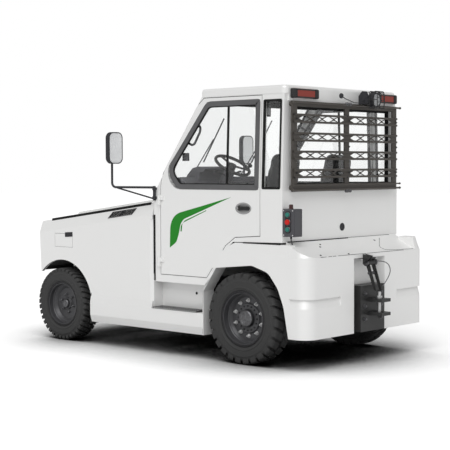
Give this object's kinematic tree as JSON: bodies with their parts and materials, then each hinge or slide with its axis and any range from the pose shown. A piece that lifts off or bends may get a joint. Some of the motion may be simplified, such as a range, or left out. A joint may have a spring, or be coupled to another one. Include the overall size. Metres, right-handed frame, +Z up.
{
  "type": "electric baggage tractor",
  "caption": "Electric baggage tractor with a closed two-seat cab, bonnet, guarded rear window, heavy rear counterweight and a pin hitch at the back.",
  "frame": {"origin": "on the ground, in the middle of the overall length and width", "axes": "+X forwards, +Y to the left, +Z up"},
  "size_m": [3.9, 2.15, 2.5179],
  "materials": {
    "body_white": "semi-gloss",
    "frame_black": "satin",
    "liner_black": "matte",
    "pack_grey": "satin",
    "tread_rubber": "ribbed",
    "trim_black": "matte",
    "lamp_clear": "clear",
    "lamp_red": "glossy",
    "cab_grey": "satin",
    "glass": "clear",
    "guard_grey": "satin",
    "control_grey": "satin",
    "bright_steel": "bright",
    "seat_cover": "grained",
    "dash_grey": "grained",
    "wheel_plastic": "grained",
    "tyre": "matte",
    "rim_grey": "satin"
  },
  "bodies": {
    "tractor": {"chassis_frame": "frame_black", "battery_pack": "pack_grey", "side_sills": "body_white", "step_wells": "body_white", "step_treads": "tread_rubber", "front_fenders": "body_white", "wheel_liners": "liner_black", "front_fascia": "body_white", "front_grille": "trim_black", "headlamps": "lamp_clear", "cowl_panel": "body_white", "front_bumper": "frame_black", "cab_floor": "cab_grey", "cab_sides": "body_white", "cab_rear_wall": "body_white", "cab_roof": "body_white", "cab_windows": "glass", "rear_guard": "guard_grey", "guard_lattice": "guard_grey", "tail_lamps": "lamp_red", "work_lamp": "trim_black", "control_box": "control_grey", "rear_fenders": "body_white", "counterweight": "body_white", "rear_deck": "body_white", "hitch_bracket": "frame_black", "seat_bases": "trim_black", "seat_cushions": "seat_cover", "seat_backrests": "seat_cover", "dashboard": "dash_grey", "steering_column": "trim_black", "mirrors": "trim_black", "front_axle_beam": "frame_black", "leaf_springs": "frame_black", "rear_axle": "frame_black"},
    "door_left_body": {"door_left": "body_white", "door_glass_left": "glass"},
    "door_right_body": {"door_right": "body_white", "door_glass_right": "glass"},
    "bonnet_body": {"bonnet": "body_white"},
    "steering_wheel_body": {"steering_wheel": "wheel_plastic"},
    "steering_knuckle_left": {"knuckle_left": "frame_black"},
    "steering_knuckle_right": {"knuckle_right": "frame_black"},
    "steering_tie_rod": {"tie_rod": "frame_black"},
    "front_wheel_left": {"front_tyre_left": "tyre", "front_rim_left": "rim_grey"},
    "front_wheel_right": {"front_tyre_right": "tyre", "front_rim_right": "rim_grey"},
    "rear_wheel_left": {"rear_tyre_left": "tyre", "rear_rim_left": "rim_grey"},
    "rear_wheel_right": {"rear_tyre_right": "tyre", "rear_rim_right": "rim_grey"},
    "hitch_pin_body": {"hitch_pin": "bright_steel"}
  },
  "joints": [
    {"name": "door_left_hinge", "type": "hinge", "parent": "tractor", "child": "door_left_body", "pos_m": [0.062, 0.906, 1.18], "axis": [0, 0, -1], "range_deg": [0, 75]},
    {"name": "door_right_hinge", "type": "hinge", "parent": "tractor", "child": "door_right_body", "pos_m": [0.062, -0.906, 1.18], "axis": [0, 0, 1], "range_deg": [0, 75]},
    {"name": "bonnet_hinge", "type": "hinge", "parent": "tractor", "child": "bonnet_body", "pos_m": [0.196, 0, 1.45377], "axis": [0, -1, 0], "range_deg": [0, 50]},
    {"name": "steer_left", "type": "hinge", "parent": "tractor", "child": "steering_knuckle_left", "pos_m": [1.5, 0.655, 0.375], "axis": [0, 0, 1], "range_deg": [-35, 35]},
    {"name": "steer_right", "type": "hinge", "parent": "tractor", "child": "steering_knuckle_right", "pos_m": [1.5, -0.655, 0.375], "axis": [0, 0, 1], "range_deg": [-35, 35]},
    {"name": "tie_rod_eye", "type": "hinge", "parent": "steering_knuckle_left", "child": "steering_tie_rod", "pos_m": [1.315, 0.655, 0.303], "axis": [0, 0, 1], "range_deg": [-35, 35]},
    {"name": "steering_wheel_turn", "type": "hinge", "parent": "tractor", "child": "steering_wheel_body", "pos_m": [-0.44, 0.4, 1.81], "axis": [-0.5299, 0, 0.848], "range_deg": [-525, 525]},
    {"name": "front_spin_left", "type": "hinge", "parent": "steering_knuckle_left", "child": "front_wheel_left", "pos_m": [1.5, 0.8125, 0.375], "axis": [0, 1, 0], "continuous": true},
    {"name": "front_spin_right", "type": "hinge", "parent": "steering_knuckle_right", "child": "front_wheel_right", "pos_m": [1.5, -0.8125, 0.375], "axis": [0, 1, 0], "continuous": true},
    {"name": "rear_spin_left", "type": "hinge", "parent": "tractor", "child": "rear_wheel_left", "pos_m": [-1, 0.7965, 0.418], "axis": [0, 1, 0], "continuous": true},
    {"name": "rear_spin_right", "type": "hinge", "parent": "tractor", "child": "rear_wheel_right", "pos_m": [-1, -0.7965, 0.418], "axis": [0, 1, 0], "continuous": true},
    {"name": "hitch_pin_lift", "type": "slide", "parent": "tractor", "child": "hitch_pin_body", "axis": [0, 0, 1], "range_m": [0, 0.11]}
  ],
  "couplings": [
    {"joint": "steer_right", "follows": "steer_left", "ratio": 1},
    {"joint": "tie_rod_eye", "follows": "steer_left", "ratio": -1},
    {"joint": "steering_wheel_turn", "follows": "steer_left", "ratio": 15}
  ]
}
